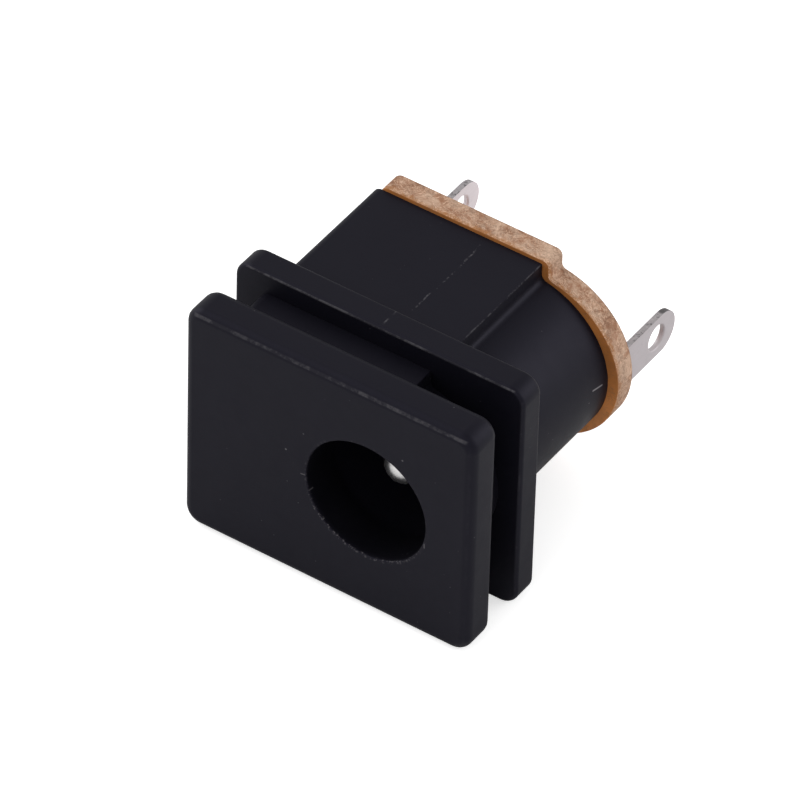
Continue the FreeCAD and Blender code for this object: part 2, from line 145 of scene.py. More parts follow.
class JackSizes(bpy.types.PropertyGroup):
    """Sizes of the moulding, the laminate and the metal parts"""

    plate_thickness: length("Front plate", 1.95, "Thickness of the front plate")
    slot_width: length("Panel slot", 1.9, "Width of the slot that takes the panel")
    flange_thickness: length("Flange", 1.4, "Thickness of the flange behind the slot")
    plate_corner: length("Plate corner", 0.88, "Corner radius of the plate and the flange")
    plate_edge: length("Plate edge", 0.48, "Rounding of the front plate's edges")
    flange_edge: length("Flange edge", 0.2, "Rounding of the flange's edges")
    block_left: length("Block left", 8.31, "From the plug axis to the block's left side")
    block_right: length("Block right", 0.69, "From the plug axis to the step")
    barrel_radius: length("Barrel", 4.38, "Radius of the barrel")
    step_height: length("Step", 0.82, "How far the block stands above the barrel")
    block_edge: length("Block edge", 0.45, "Rounding of the block's left edges")
    crisp_edge: length("Crisp edge", 0.06, "Rounding of the moulding's sharpest edges")
    step_fillet: length("Step fillet", 0.35, "Fillet at the foot of the step")
    root_fillet: length("Root fillet", 0.55, "Fillet where the body meets the flange")
    cavity_radius: length("Cavity", 3.45, "Radius of the socket behind its lip")
    chamber_front: length("Chamber front", 4.8, "Depth at which the contact chamber starts")
    chamber_wall: length("Chamber wall", 0.97, "Wall left of the contact chamber")
    chamber_roof: length("Chamber roof", 1.25, "Wall above the contact chamber")
    bore_wall: length("Bore wall", 0.6, "Wall between the cavity and the chamber")
    window_height: length("Window", 3.5, "Height of the window that the spring passes")
    peg_radius: length("Peg", 0.6, "Radius of the pegs through the back plate")
    peg_head_radius: length("Peg head", 0.95, "Radius of the melted heads of the pegs")
    peg_across: length("Peg across", 3.05, "Distance of the pegs from the plug axis")
    peg_up: length("Peg up", 3.85, "Height of the pegs above and below the axis")
    laminate_left_corner: length("Laminate corner", 0.5, "Corner radius on the laminate's left side")
    laminate_right_corner: length("Shoulder corner", 0.33, "Corner radius of the laminate's shoulder")
    laminate_shoulder: length("Shoulder", 1.03, "From the plug axis to the laminate's shoulder")
    laminate_foot: length("Shoulder foot", 0.28, "Fillet at the foot of the laminate's shoulder")
    round_across: length("Round", 0.48, "From the plug axis to the middle of the round side")
    laminate_edge: length("Punched edge", 0.05, "Rounding left on the laminate's edges by the punch")
    collar_radius: length("Collar", 2.0, "Radius of the pin's collar")
    collar_length: length("Collar length", 0.9, "Length of the pin's collar")
    shank_radius: length("Shank", 0.8, "Radius of the pin's riveted shank")
    rivet_radius: length("Rivet", 1.35, "Radius of the rivet head")
    rivet_edge: length("Rivet edge", 0.3, "Rounding of the rivet head")
    sheet: length("Sheet", 0.3, "Thickness of the terminals")
    sheet_edge: length("Sheet edge", 0.035, "Rollover on the edges of the punched terminals")
    hole_rollover: length("Hole rollover", 0.08, "Rollover on the rims of the wire holes")
    lug_width: length("Lug width", 2.2, "Width of the solder lugs")
    bend_radius: length("Bend", 0.3, "Inner radius of the pin terminal's bend")
    play: length("Play", 0.05, "Clearance round what passes the laminate")
    base_length: length("Contact base", 1.3, "Length of the contacts' bases inside the body")
    spring_root: length("Spring root", 0.3, "Flat length of the spring in front of its base")
    spring_bow: length("Spring bow", 3.5, "From the chamber's front to the spring's bow")
    spring_tail: length("Spring tail", 0.9, "Length of the spring's flat tail")
    switch_height: length("Switch leaf", 2.0, "Height of the switch contact's leaf")
    hook_length: length("Switch hook", 0.8, "Length of the switch contact's hook")


class JackFinish(bpy.types.PropertyGroup):
    """Colours of the finishes"""

    moulding: colour("Moulding", (0.0044, 0.0041, 0.0072), "Black moulded plastic")
    # Also the colour of the painted highlight on the plates' rounded front edges and on the block's top edge.
    moulding_worn_and_highlit: colour("Worn moulding", (0.085, 0.082, 0.088), "Plastic where its skin is rubbed off")
    dust: colour("Dust", (0.20, 0.19, 0.20), "Specks of dust and burr")
    laminate_pale: colour("Laminate, pale fibre", (0.57, 0.385, 0.275), "Torn fibres in the punched edge")
    laminate_mid: colour("Laminate, resin", (0.34, 0.166, 0.092), "Resin and paper in the punched edge")
    laminate_dark: colour("Laminate, burnt", (0.20, 0.105, 0.062), "Dark streaks in the punched edge")
    laminate_amber: colour("Laminate, amber", (0.40, 0.17, 0.055), "Clear resin at the punched edge's front")
    laminate_face: colour("Laminate face", (0.44, 0.160, 0.040), "Glossy face of the laminate")
    tin: colour("Tin plate", (0.63, 0.58, 0.60), "Flat faces of the solder lugs")
    tin_cut: colour("Cut edge", (0.42, 0.395, 0.405), "Sheared edges of the solder lugs")
    pin_plate: colour("Pin plate", (0.92, 0.91, 0.90), "Bright plate of the centre pin")
    floor: colour("Floor", (0.80, 0.80, 0.80), "Pale floor")


def deselect_all():
    """Leave nothing selected."""
    if bpy.context.object and bpy.context.object.mode != "OBJECT":
        bpy.ops.object.mode_set(mode="OBJECT")
    bpy.ops.object.select_all(action="DESELECT")


def make_active(piece):
    """Select one object and nothing else."""
    deselect_all()
    piece.select_set(True)
    bpy.context.view_layer.objects.active = piece


def settle(name):
    """Name the object just added and put its place into its mesh."""
    piece = bpy.context.object
    piece.name = name
    make_active(piece)
    bpy.ops.object.transform_apply(location=True, rotation=True, scale=True)
    return piece


def add_box(name, low, high):
    """A box between two corners."""
    deselect_all()
    low = Vector(low)
    high = Vector(high)
    bpy.ops.mesh.primitive_cube_add(size=1.0, location=(low + high) / 2)
    bpy.context.object.scale = high - low
    return settle(name)


def add_rod(name, radius, start, end, centre=(0.0, 0.0), axis=Y, sides=FINE_SIDES):
    """A round bar along X or Y, with its centre given on the plane across it."""
    deselect_all()
    middle = (start + end) / 2
    if axis == Y:
        place = (centre[0], middle, centre[1])
        turn = (math.pi / 2, 0.0, 0.0)
    else:
        place = (middle, *centre)
        turn = (0.0, math.pi / 2, 0.0)
    bpy.ops.mesh.primitive_cylinder_add(
        vertices=sides, radius=radius, depth=end - start, location=place, rotation=turn
    )
    return settle(name)


def near(value, target):
    """True where two lengths agree."""
    return abs(value - target) < SAME_PLACE


def away_from(axis, offset):
    """How far an offset leads away from an axis."""
    return math.hypot(*(offset[other] for other in (X, Y, Z) if other != axis))


def edge_lies(ends, axis, value):
    """True where both ends of an edge have that coordinate."""
    return all(near(end[axis], value) for end in ends)


def edge_runs(ends, axis):
    """True where an edge is parallel to an axis."""
    along = ends[1] - ends[0]
    return along.length > SHORTEST_EDGE and near(abs(along[axis]), along.length)


def edge_rounds(ends, axis, centre, radius):
    """True where both ends of an edge lie on a round about an axis."""
    return all(abs(away_from(axis, end - centre) - radius) < ON_CIRCLE for end in ends)


def edges_along(axis, *planes):
    """A test for edges along an axis that lie in planes, given as pairs of an axis and a value."""
    return lambda ends: edge_runs(ends, axis) and all(edge_lies(ends, *plane) for plane in planes)


def edges_at(axis, *values):
    """A test for edges that lie in any of several planes across an axis."""
    return lambda ends: any(edge_lies(ends, axis, value) for value in values)


def open_mesh(piece, kind, action):
    """Enter edit mode with everything or nothing selected."""
    make_active(piece)
    bpy.ops.object.mode_set(mode="EDIT")
    bpy.ops.mesh.select_mode(type=kind)
    bpy.ops.mesh.select_all(action=action)


def close_mesh():
    """Leave edit mode."""
    bpy.ops.object.mode_set(mode="OBJECT")


def pick_edges(piece, wanted, any_edge=False):
    """Select the sharp edges, or any edges, whose two ends pass a test, in edit mode."""
    open_mesh(piece, "EDGE", "SELECT" if any_edge else "DESELECT")
    if not any_edge:
        bpy.ops.mesh.edges_select_sharp(sharpness=SHARP_ANGLE)
    close_mesh()
    mesh = piece.data
    count = 0
    for edge in mesh.edges:
        ends = [mesh.vertices[index].co for index in edge.vertices]
        edge.select = edge.select and wanted(ends)
        count += edge.select
    for element in (*mesh.vertices, *mesh.polygons):
        element.select = False
    if count == 0:
        raise RuntimeError("no edge of " + piece.name + " passes the test")
    bpy.ops.object.mode_set(mode="EDIT")


def bevel_edges(piece, width, segments, wanted):
    """Round the edges that pass a test."""
    pick_edges(piece, wanted)
    bpy.ops.mesh.bevel(offset=width, segments=segments, profile=0.5, affect="EDGES", clamp_overlap=False)
    close_mesh()


def pick_faces(piece, wanted):
    """Select the faces whose centre and normal pass a test, in edit mode."""
    open_mesh(piece, "FACE", "DESELECT")
    close_mesh()
    for face in piece.data.polygons:
        face.select = wanted(face.center, face.normal)
    bpy.ops.object.mode_set(mode="EDIT")


def faces_front(centre, normal):
    """True on the faces that look towards the front."""
    return normal.y < -0.9


def apply_modifier(piece, kind, **settings):
    """Give a piece a modifier with its settings, and apply it."""
    make_active(piece)
    modifier = piece.modifiers.new("change", kind)
    for name, value in settings.items():
        setattr(modifier, name, value)
    bpy.ops.object.modifier_apply(modifier=modifier.name)


def combine(piece, tool, operation):
    """Join a tool to a piece, or cut it away, and remove the tool."""
    apply_modifier(piece, "BOOLEAN", operation=operation, solver="MANIFOLD", object=tool)
    bpy.data.objects.remove(tool)


def join(piece, tool):
    """Fuse a tool to a piece."""
    combine(piece, tool, "UNION")


def cut(piece, tool):
    """Cut a tool out of a piece."""
    combine(piece, tool, "DIFFERENCE")


def clean_mesh(piece, flatten=False):
    """Merge doubles, and dissolve what the cuts left behind or the seams in flat faces."""
    open_mesh(piece, "VERT", "SELECT")
    bpy.ops.mesh.remove_doubles(threshold=MERGE_REACH)
    if flatten:
        bpy.ops.mesh.dissolve_limited(angle_limit=FLAT_ANGLE)
    else:
        bpy.ops.mesh.dissolve_degenerate(threshold=DEGENERATE)
    close_mesh()


def round_sharp_edges(piece, width):
    """A narrow bevel on every sharp edge."""
    limit = {"limit_method": "ANGLE", "angle_limit": ROLLOVER_ANGLE, "use_clamp_overlap": True}
    apply_modifier(piece, "BEVEL", width=width, segments=2, **limit)


def finish(piece, node, slot, *materials):
    """Smooth a piece's round stretches, and let it stand for its CAD node with its materials."""
    make_active(piece)
    bpy.ops.object.shade_smooth_by_angle(angle=SMOOTH_ANGLE)
    apply_modifier(piece, "WEIGHTED_NORMAL", keep_sharp=True, weight=100)
    piece.data.materials.clear()
    for name in materials:
        piece.data.materials.append(bpy.data.materials[name])
    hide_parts(node)
    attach(piece, "root")


def paint_faces(piece, wanted):
    """Give the faces that pass a test the piece's second material."""
    for face in piece.data.polygons:
        if wanted(face.center, face.normal):
            face.material_index = 1


def feed(sockets, values):
    """Give input sockets their values or their links."""
    for key, value in values.items():
        if isinstance(value, Signal):
            value.tree.links.new(value.socket, sockets[key])
        else:
            sockets[key].default_value = value


def add_node(tree, kind, inputs, **settings):
    """Add a node, set its properties and feed its inputs."""
    node = tree.nodes.new("ShaderNode" + kind)
    for name, value in settings.items():
        setattr(node, name, value)
    feed(node.inputs, inputs)
    return node


def add_signal(tree, kind, inputs, output=0, **settings):
    """Add a node and take one of its outputs."""
    return Signal(add_node(tree, kind, inputs, **settings).outputs[output])


class Signal:
    """A node's output, which takes part in sums as a number does."""

    def __init__(self, socket):
        self.socket = socket
        self.tree = socket.id_data

    def math(self, operation, other=0.0, clamp=False):
        """The result of a sum on numbers."""
        return add_signal(self.tree, "Math", {0: self, 1: other}, operation=operation, use_clamp=clamp)

    def vector(self, operation, other, output=0):
        """The result of a sum on places."""
        return add_signal(self.tree, "VectorMath", {0: self, 1: other}, output, operation=operation)

    def __add__(self, other):
        return self.math("ADD", other)

    def __sub__(self, other):
        return self.math("SUBTRACT", other)

    def __mul__(self, other):
        return self.math("MULTIPLY", other)

    def __abs__(self):
        return self.math("ABSOLUTE")

    def ramp(self, low, high):
        """0 below low, 1 above high, smooth between. Low may be the larger."""
        inputs = {"Value": self, "From Min": low, "From Max": high}
        return add_signal(self.tree, "MapRange", inputs, "Result", interpolation_type="SMOOTHSTEP")

    def spread(self, low, high):
        """A 0 to 1 value stretched to a new range."""
        return add_signal(self.tree, "MapRange", {"Value": self, "To Min": low, "To Max": high}, "Result")

    def scale(self, vector):
        """A place or a colour times this value."""
        return add_signal(self.tree, "VectorMath", {0: vector, "Scale": self}, operation="SCALE")

    def blend(self, first, second):
        """The first colour turning into the second."""
        inputs = {0: self}
        for index, value in ((6, first), (7, second)):
            inputs[index] = value if isinstance(value, Signal) else (*value, 1.0)
        return add_signal(self.tree, "Mix", inputs, 2, data_type="RGBA")


def split(signal, kind="SeparateXYZ"):
    """The three numbers of a place or a colour."""
    return [Signal(output) for output in add_node(signal.tree, kind, {0: signal}).outputs]


def from_axis(x, z):
    """How far a place is from the plug axis."""
    return (x.math("POWER", 2.0) + z.math("POWER", 2.0)).math("SQRT")


def highest(values):
    """The largest of several masks."""
    result = values[0]
    for value in values[1:]:
        result = result.math("MAXIMUM", value)
    return result


def noise(place, scale, detail, roughness, distortion=0.0):
    """Fractal noise at a number of cells per millimetre."""
    inputs = {"Vector": place, "Scale": scale, "Detail": detail, "Roughness": roughness}
    return add_signal(place.tree, "TexNoise", inputs | {"Distortion": distortion}, "Fac")


def new_group(name, inputs, outputs):
    """An empty node group: the signals of its inputs, and its outputs to feed."""
    tree = bpy.data.node_groups.new(name, "ShaderNodeTree")
    for label, default in inputs.items():
        kind = "NodeSocketVector" if default is None else "NodeSocketFloat"
        socket = tree.interface.new_socket(label, in_out="INPUT", socket_type=kind)
        if default is not None:
            socket.default_value = default
    for label in outputs:
        tree.interface.new_socket(label, in_out="OUTPUT", socket_type="NodeSocketFloat")
    given = tree.nodes.new("NodeGroupInput").outputs
    return [Signal(given[label]) for label in inputs], tree.nodes.new("NodeGroupOutput").inputs


def use_group(name, place, inputs):
    """Put a node group to use at a place, and hand back its outputs."""
    group = place.tree.nodes.new("ShaderNodeGroup")
    group.node_tree = bpy.data.node_groups[name]
    feed(group.inputs, {"Position": place, **inputs})
    return {output.name: Signal(output) for output in group.outputs}


def stroke(place, start, end, width):
    """A mask of one straight mark."""
    return use_group("stroke", place, {"Start": start, "End": end, "Width": width})["Mask"]


def build_specks_group():
    """Small round specks of mixed size, thinly scattered."""
    inputs = {"Position": None, "Cells": 1.5, "Share": 0.2, "Size": 0.05}
    (place, count, share, size), out = new_group("specks", inputs, ["Mask"])
    cells = add_node(place.tree, "TexVoronoi", {"Vector": place, "Scale": count, "Randomness": 1.0})
    choice, bigness, strength = split(Signal(cells.outputs["Color"]), "SeparateColor")
    chosen = choice.math("LESS_THAN", share)
    limit = size * bigness.spread(0.35, 1.0) * count
    spot = Signal(cells.outputs["Distance"]).ramp(limit, limit * 0.4)
    feed(out, {"Mask": spot * strength.spread(0.25, 1.0) * chosen})


def build_stroke_group():
    """A thin straight mark between two points."""
    inputs = {"Position": None, "Start": None, "End": None, "Width": 0.05}
    (place, start, end, width), out = new_group("stroke", inputs, ["Mask"])
    reach = place.vector("SUBTRACT", start)
    span = end.vector("SUBTRACT", start)
    ahead = reach.vector("DOT_PRODUCT", span, "Value")
    whole = span.vector("DOT_PRODUCT", span, "Value")
    foot = ahead.math("DIVIDE", whole, clamp=True).scale(span)
    gap = reach.vector("DISTANCE", foot, "Value")
    feed(out, {"Mask": gap.ramp(width, width * 0.3)})


def build_worn_and_highlit_rim_group():
    """Wear and a painted highlight along the front edge of a rectangular plate, strongest along its top,
    where light falls on the rounding.
    """
    inputs = {
        "Position": None, "Depth": 0.0, "Middle": 0.0, "Half Width": 7.0, "Half Height": 6.0,
        "Band": 0.2, "Sides": 0.2,
    }
    given, out = new_group("worn_and_highlit_rim", inputs, ["Mask"])
    place, depth, middle, half_width, half_height, band, sides = given
    x, y, z = split(place)
    behind = abs(y - depth)

    def corner_line(sideways):
        """How near a point is to the line where the front meets one side."""
        return (abs(sideways) + behind).ramp(band, band * 0.3)

    # Painted highlight: the top edge takes the full mask and the other sides only a share, as light falls on
    # the top.
    top = corner_line(z - half_height)
    rest = highest([corner_line(abs(x - middle) - half_width), corner_line(z * -1.0 - half_height)])
    broken = noise(place, 0.9, 5.0, 0.75).ramp(0.44, 0.60)
    gritty = noise(place, 13.0, 2.0, 0.6).spread(0.1, 1.2)
    feed(out, {"Mask": highest([top, rest * sides]) * (broken * gritty).spread(0.14, 1.0)})


def build_fibre_group():
    """Mottled layers and curled strands of paper fibre in a punched edge."""
    outputs = ["Tone", "Pale Strand", "Dark Strand", "Height"]
    (position, grain), out = new_group("fibre", {"Position": None, "Grain": 1.0}, outputs)
    place = grain.scale(position)
    mottle = noise(place, 1.6, 5.0, 0.72, 0.8)
    cloud = noise(place, 0.5, 3.0, 0.6)
    tufts = noise(place, 8.0, 3.0, 0.7, 1.2)

    def strands(offset, scale, thin, keep):
        """Thin curled lines where a twisted noise passes its middle, kept in patches."""
        moved = place.vector("ADD", (offset, 0.5 * offset, -offset))
        line = abs(noise(moved, scale, 2.0, 0.6, 2.2) - 0.5).ramp(thin, 0.0)
        return line * noise(moved, 1.9, 2.0, 0.6).ramp(1.0 - keep, 1.08 - keep)

    pale = highest([strands(3.0, 2.0, 0.05, 0.58), strands(11.0, 3.6, 0.05, 0.54)])
    dark = highest([strands(23.0, 2.4, 0.045, 0.50), strands(31.0, 4.6, 0.04, 0.48)])
    tone = mottle * 0.55 + tufts * 0.15 + cloud * 0.3
    height = tufts * 0.6 + pale * 0.4 - dark * 0.4
    feed(out, dict(zip(outputs, (tone, pale, dark, height))))


def new_material(name):
    """A new material: its shader's inputs, and the place on the piece in millimetres."""
    material = bpy.data.materials.new(name)
    material.use_nodes = True
    tree = material.node_tree
    inputs = {0: add_signal(tree, "TexCoord", {}, "Object"), "Scale": 1.0 / MM}
    return tree.nodes["Principled BSDF"].inputs, add_signal(tree, "VectorMath", inputs, operation="SCALE")


def add_bump(shader, height, distance, strength):
    """Relief, with its depth in millimetres."""
    inputs = {"Height": height, "Distance": distance * MM, "Strength": strength}
    feed(shader, {"Normal": add_signal(height.tree, "Bump", inputs, "Normal")})


def toned(hue, factor):
    """A colour made lighter or darker."""
    return [min(1.0, channel * factor) for channel in hue]


def paint_over(base, *layers):
    """A base colour under layers, each given by its mask, its strength and its colour."""
    for mask, strength, hue in layers:
        base = (mask * strength).blend(base, hue)
    return base


def paint_moulding(shader, place, scene):
    """Satin black plastic with rubbed edges that carry a painted highlight, witness lines, dust, burrs and
    painted shade inside the socket.
    """
    finish = scene.jack_finish
    sizes = scene.jack_sizes
    feed(shader, {"Specular IOR Level": 0.19, "Specular Tint": (0.77, 0.74, 1.0, 1.0)})
    middle = (HOUSING_LOW.x + HOUSING_HIGH.x) / 2 / MM
    half_width = (HOUSING_HIGH.x - HOUSING_LOW.x) / 2 / MM
    half_height = HOUSING_HIGH.z / MM
    flange_front = (sizes.plate_thickness + sizes.slot_width) / MM
    block_top = (sizes.barrel_radius + sizes.step_height) / MM
    block_right = sizes.block_right / MM
    x, y, z = split(place)

    def wear_and_highlight_on_rounding(front, edge, band, sides):
        """A line on the rounding between a plate's front and its sides: rubbed skin with a painted highlight.
        """
        line = {"Depth": front + 0.13 * edge, "Middle": middle, "Band": band, "Sides": sides}
        reach = {"Half Width": half_width - 0.5 * edge, "Half Height": half_height - 0.5 * edge}
        return use_group("worn_and_highlit_rim", place, line | reach)["Mask"]

    def broken_line(start, end, width, keep, sway):
        """A line that shows only in places."""
        shifted = x + noise(place, 0.9, 2.0, 0.5).spread(-sway, sway)
        moved = add_signal(place.tree, "CombineXYZ", {0: shifted, 1: y, 2: z})
        gaps = noise(place, 3.4, 4.0, 0.75).ramp(1.0 - keep, 1.17 - keep)
        return stroke(moved, start, end, width) * gaps

    # Rubbed edges that carry a painted highlight, two mould lines, and the block's bright top edge.
    wear_and_highlight = highest([
        wear_and_highlight_on_rounding(0.0, sizes.plate_edge / MM, 0.16, 0.08) * 0.8,
        wear_and_highlight_on_rounding(flange_front, sizes.flange_edge / MM, 0.10, 0.2),
        broken_line((-2.20, 6.69, block_top), (-2.17, 11.97, block_top), 0.06, 0.52, 0.16) * 0.75,
        broken_line((-2.06, 3.98, half_height), (-2.04, 5.16, half_height), 0.06, 0.56, 0.05) * 0.8,
        # The block's top right edge: a bright line, partly rubbed skin and partly painted highlight.
        broken_line((block_right, 6.4, block_top), (block_right, 12.5, block_top), 0.07, 0.56, 0.02) * 0.7,
    ])
    radius = from_axis(x, z)
    hole = mount_size("plug_socket", "r_mm") / MM
    on_rim = (abs(radius - (hole + 0.02)) + abs(y)).ramp(0.17, 0.06)
    burr = on_rim * noise(place, 6.5, 4.0, 0.75).ramp(0.52, 0.66) * z.ramp(-0.6, -2.2).spread(0.2, 1.0)
    dust = use_group("specks", place, {"Cells": 1.15, "Share": 0.3, "Size": 0.07})["Mask"]
    fine_dust = use_group("specks", place, {"Cells": 3.1, "Share": 0.2, "Size": 0.035})["Mask"]
    marks = [dust * 0.5, fine_dust * 0.4, burr * 0.6]
    marks += [stroke(place, *line) * strength for *line, strength in TICKS]

    grain = noise(place, 16.0, 2.0, 0.5)
    smear = noise(place, 0.8, 4.0, 0.6)
    # Painted shade: the plastic inside the socket is darkened to about a third of its colour.
    inside = radius.ramp(hole + 0.05, hole) * y.ramp(0.0, 0.3)
    tone = (noise(place, 0.35, 3.0, 0.5) * 0.8 + grain * 0.2).spread(0.82, 1.2) * inside.spread(1.0, 0.3)
    # The rubbed and painted-highlight colour goes over the plastic. The same mask also roughens and raises
    # it.
    worn_and_highlit = wear_and_highlight.blend(tone.scale(finish.moulding), finish.moulding_worn_and_highlit)
    feed(shader, {
        "Base Color": highest(marks).blend(worn_and_highlit, finish.dust),
        "Roughness": smear.spread(0.44, 0.56) + wear_and_highlight * 0.12,
    })
    add_bump(shader, grain * 0.4 + smear * 1.2 + wear_and_highlight * 0.8, 0.012, 0.55)


def paint_laminate_edge(shader, place, scene):
    """The punched edge of the laminate: dull, mottled paper and resin with torn fibres."""
    finish = scene.jack_finish
    fibre = use_group("fibre", place, {"Grain": 0.72})
    tone = fibre["Tone"]
    depth = split(place)[Y]
    ragged = depth + tone.spread(-0.5, 0.5)
    front = BODY_BACK / MM
    back = LAMINATE_HIGH.y / MM
    base = paint_over(
        tone.ramp(0.41, 0.58).blend(finish.laminate_mid, finish.laminate_pale),
        (tone.ramp(0.46, 0.34), 0.5, finish.laminate_dark),
        (ragged.ramp(front + 0.34, front + 0.02), 0.75, finish.laminate_amber),
        (depth.ramp(back - 0.12, back - 0.02), 0.6, finish.laminate_dark),
        (fibre["Pale Strand"], 0.6, toned(finish.laminate_pale, 1.45)),
        (fibre["Dark Strand"], 0.45, finish.laminate_dark),
    )
    feed(shader, {"Specular IOR Level": 0.25, "Base Color": base, "Roughness": tone.spread(0.55, 0.8)})
    add_bump(shader, fibre["Height"], 0.06, 0.7)


def paint_laminate_face(shader, place, scene):
    """The pressed face of the laminate: glossy resin over brown paper, with a painted glow that lightens its
    lower front.
    """
    finish = scene.jack_finish
    feed(shader, {"Coat Weight": 0.25, "Coat Roughness": 0.2})
    clouds = noise(place, 0.9, 4.0, 0.6)
    fibre = use_group("fibre", place, {"Grain": 0.8})
    _, y, z = split(place)
    front = BODY_BACK / MM
    # Painted glow: this mask lightens the face towards its lower front, as light coming through the resin
    # would.
    clear = z.ramp(0.8, -0.8) * y.ramp(front + 0.4, front + 0.1)
    tone = (clouds * 0.6 + fibre["Tone"] * 0.4).spread(0.35, 1.65) * clear.spread(1.0, 1.6)
    veins = (fibre["Dark Strand"], 0.4, finish.laminate_dark)
    base = paint_over(tone.scale(finish.laminate_face), veins)
    feed(shader, {"Base Color": base, "Roughness": clouds.spread(0.3, 0.45)})
    add_bump(shader, fibre["Tone"], 0.012, 0.4)


def paint_tin(shader, place, scene):
    """Dull tin plate with a faint rolling direction and handling marks, painted lighter to the left."""
    hue = scene.jack_finish.tin
    rolled = noise(place.vector("MULTIPLY", (1.0, 0.25, 3.0)), 6.0, 4.0, 0.65)
    cloud = noise(place, 1.4, 4.0, 0.6)
    stains = noise(place, 2.6, 4.0, 0.7).ramp(0.60, 0.74)
    # Painted light: the tin is made lighter towards the left-hand lug.
    painted_light_to_left = split(place)[X].ramp(2.0, -6.0).spread(0.89, 1.34)
    tone = (rolled * 0.5 + cloud * 0.5).spread(0.82, 1.14) * painted_light_to_left
    base = paint_over(tone.scale(hue), (stains, 0.35, toned(hue, 0.72)))
    feed(shader, {"Metallic": 0.45, "Base Color": base, "Roughness": cloud.spread(0.36, 0.56)})
    add_bump(shader, rolled, 0.006, 0.5)


def paint_cut_edge(shader, place, scene):
    """The sheared edge of the terminals: darker, rough, with torn dark spots and a painted dark reflection at
    the right-hand lug's tip.
    """
    hue = scene.jack_finish.tin_cut
    grit = noise(place, 7.0, 4.0, 0.75)
    torn = noise(place, 2.6, 4.0, 0.75).ramp(0.54, 0.66)
    # Torn dark spots, and the painted dark reflection at the right-hand lug's tip.
    dark = highest([torn, stroke(place, *LUG_PAINTED_REFLECTION)])
    base = dark.blend(grit.spread(0.45, 1.6).scale(hue), toned(hue, 0.3))
    feed(shader, {"Metallic": 0.7, "Base Color": base, "Roughness": grit.spread(0.45, 0.75)})
    add_bump(shader, grit, 0.03, 0.8)


def paint_pin(shader, place, scene):
    """Bright plate with turning marks, tarnish spots, darker blotches on its lower side and painted shade on
    its flank.
    """
    hue = scene.jack_finish.pin_plate
    turned = noise(place.vector("MULTIPLY", (0.5, 5.0, 0.5)), 7.0, 2.0, 0.5)
    mottle = noise(place, 5.0, 4.0, 0.7)
    x, y, z = split(place)
    low_blotches = z.ramp(0.15, -0.25) * noise(place, 8.0, 3.0, 0.7).ramp(0.46, 0.62)
    ragged = from_axis(x, z) + mottle.spread(-0.25, 0.25)
    # Painted shade: the pin's flank inside the socket is made nearly black.
    painted_shade_flank = ragged.ramp(0.68, 0.82) * y.ramp(6.0, 5.0)
    base = paint_over(
        mottle.spread(0.9, 1.08).scale(hue),
        (mottle.ramp(0.55, 0.68), 0.6, toned(hue, 0.4)),
        (low_blotches, 0.7, toned(hue, 0.4)),
        (painted_shade_flank, 1.0, toned(hue, 0.03)),
    )
    feed(shader, {"Metallic": 1.0, "Base Color": base, "Roughness": mottle.spread(0.2, 0.42)})
    add_bump(shader, turned, 0.01, 0.5)


FINISHES = {
    "satin_moulding": paint_moulding,
    "punched_laminate": paint_laminate_edge,
    "glossy_laminate": paint_laminate_face,
    "tin_plate": paint_tin,
    "sheared_edge": paint_cut_edge,
    "plated_pin": paint_pin,
}


def prepare_finishes(scene):
    """Make the node groups and the materials, the first time that they are asked for."""
    if "satin_moulding" in bpy.data.materials:
        return
    for build in (build_specks_group, build_stroke_group, build_worn_and_highlit_rim_group, build_fibre_group):
        build()
    for name, paint in FINISHES.items():
        paint(*new_material(name), scene)


def quarter_round(radius, steps):
    """How far a rounding leads outwards and along, step by step, from its end to its side."""
    turns = [step / steps * math.pi / 2 for step in range(steps + 1)]
    return [(radius * (1 - math.cos(turn)), radius * (1 - math.sin(turn))) for turn in turns]


def pull_through(stops, middle=0.0):
    """Extrude what is selected along Y, by stops given as depth, half width and half height."""
    for (depth, width, height), (next_depth, next_width, next_height) in zip(stops, stops[1:]):
        step = (0.0, next_depth - depth, 0.0)
        bpy.ops.mesh.extrude_region_move(TRANSFORM_OT_translate={"value": step})
        growth = (next_width / width, 1.0, next_height / height)
        bpy.ops.transform.resize(value=growth, center_override=(middle, 0.0, 0.0))


def flare_towards_flange(piece, sizes, half_width, half_height, middle=0.0):
    """Pull the front face forward through the root fillet, the flange and the slot."""
    flange_back = sizes.plate_thickness + sizes.slot_width + sizes.flange_thickness
    buried = flange_back - sizes.flange_thickness / 4
    stops = [(flange_back + along, outwards) for outwards, along in quarter_round(sizes.root_fillet, 7)]
    stops += [(buried, sizes.root_fillet), (buried, 0.0), (sizes.plate_thickness / 2, 0.0)]
    pick_faces(piece, faces_front)
    pull_through([(depth, half_width + wider, half_height + wider) for depth, wider in stops], middle)
    close_mesh()


def make_plate(name, front, back, sizes, edge):
    """The rectangular outline that the front plate and the flange share."""
    plate = add_box(name, (HOUSING_LOW.x, front, HOUSING_LOW.z), (HOUSING_HIGH.x, back, HOUSING_HIGH.z))
    bevel_edges(plate, sizes.plate_corner, 12, edges_along(Y))
    bevel_edges(plate, edge, 5, edges_at(Y, front, back))
    return plate


def make_block(sizes, front, back, block_top):
    """The box that holds the contacts, with its flared root."""
    left, right = -sizes.block_left, sizes.block_right
    block = add_box("housing_moulding", (left, front, -block_top), (right, back, block_top))
    bevel_edges(block, sizes.block_edge, 8, edges_along(Y, (X, left)))
    bevel_edges(block, sizes.crisp_edge, 2, edges_along(Y, (X, right)))
    flare_towards_flange(block, sizes, (right - left) / 2, block_top, (right + left) / 2)
    return block


